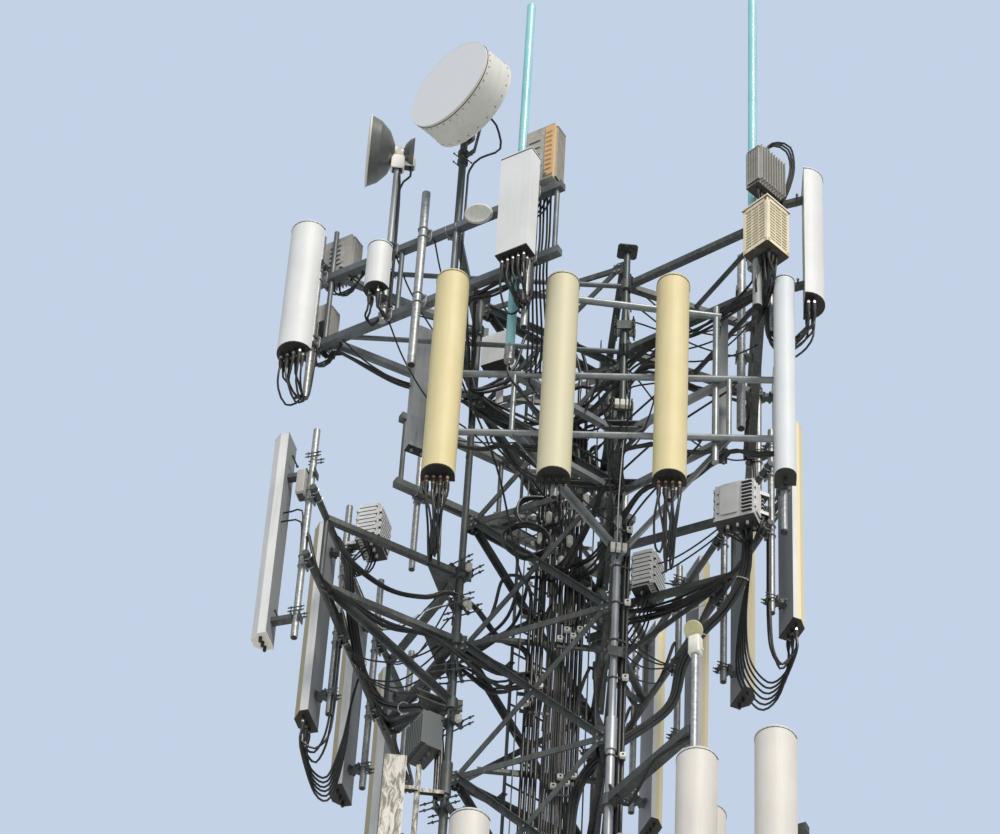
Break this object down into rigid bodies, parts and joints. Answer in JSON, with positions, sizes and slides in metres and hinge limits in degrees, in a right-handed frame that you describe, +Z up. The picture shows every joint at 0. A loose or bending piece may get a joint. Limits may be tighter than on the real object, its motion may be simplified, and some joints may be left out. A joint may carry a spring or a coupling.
{
  "type": "free-standing lattice cell tower",
  "caption": "Free-standing three-legged lattice tower with ladder, feeder cables and rings of frames that carry panel antennas, radio units, dishes and whips.",
  "frame": {"origin": "centre of the underside of the front leg's base plate, at ground level", "axes": "+Z up; -Y toward the viewer of the picture; +X to that viewer's right"},
  "size_m": [5.1016, 5.1488, 34.5],
  "materials": {
    "weathered_steel": "dull dark grey-green weathered galvanising",
    "bright_galvanised": "bright galvanised, satin",
    "white_radome": "white fibreglass radome, satin",
    "cream_radome": "cream fibreglass radome, satin",
    "teal_fibreglass": "pale teal fibreglass, satin",
    "black_jacket": "black cable jacket, satin",
    "grey_casting": "grey painted finned casting",
    "beige_enamel": "beige enamel",
    "grey_radome": "pale grey fibreglass radome, weathered"
  },
  "bodies": {
    "root": {"leg_left": "weathered_steel", "leg_front": "bright_galvanised", "leg_rear": "weathered_steel", "anchor_bolts": "bright_galvanised", "upper_lattice_left": "weathered_steel", "upper_lattice_right": "weathered_steel", "upper_lattice_rear": "weathered_steel", "lower_lattice_left": "weathered_steel", "lower_lattice_right": "weathered_steel", "lower_lattice_rear": "weathered_steel", "climbing_ladder": "weathered_steel", "cable_ladder": "weathered_steel", "feeder_cables": "black_jacket", "leg_cables": "black_jacket", "top_frame_left": "weathered_steel", "top_frame_right": "weathered_steel", "top_frame_rear": "weathered_steel", "top_mount_pipes": "bright_galvanised", "white_canister_antennas": "white_radome", "small_canister_antenna": "white_radome", "box_antennas": "white_radome", "top_radio_units": "grey_casting", "tan_radio_unit": "grey_casting", "louvred_cabinet": "beige_enamel", "drum_dish": "white_radome", "dish_masts": "weathered_steel", "small_dishes": "white_radome", "whip_antennas": "teal_fibreglass", "front_frame": "weathered_steel", "right_frame": "weathered_steel", "left_frame": "weathered_steel", "middle_mount_pipes": "bright_galvanised", "antenna_brackets": "weathered_steel", "cream_antennas": "cream_radome", "tall_white_antenna": "white_radome", "side_panel_antennas": "white_radome", "side_radio_units": "grey_casting", "narrow_panels": "grey_radome", "lower_frame_left": "weathered_steel", "lower_frame_right": "weathered_steel", "lower_frame_rear": "weathered_steel", "lower_mount_pipes": "bright_galvanised", "side_arm": "weathered_steel", "lower_canister_antennas": "white_radome", "disc_sensor": "beige_enamel"}
  },
  "joints": []
}
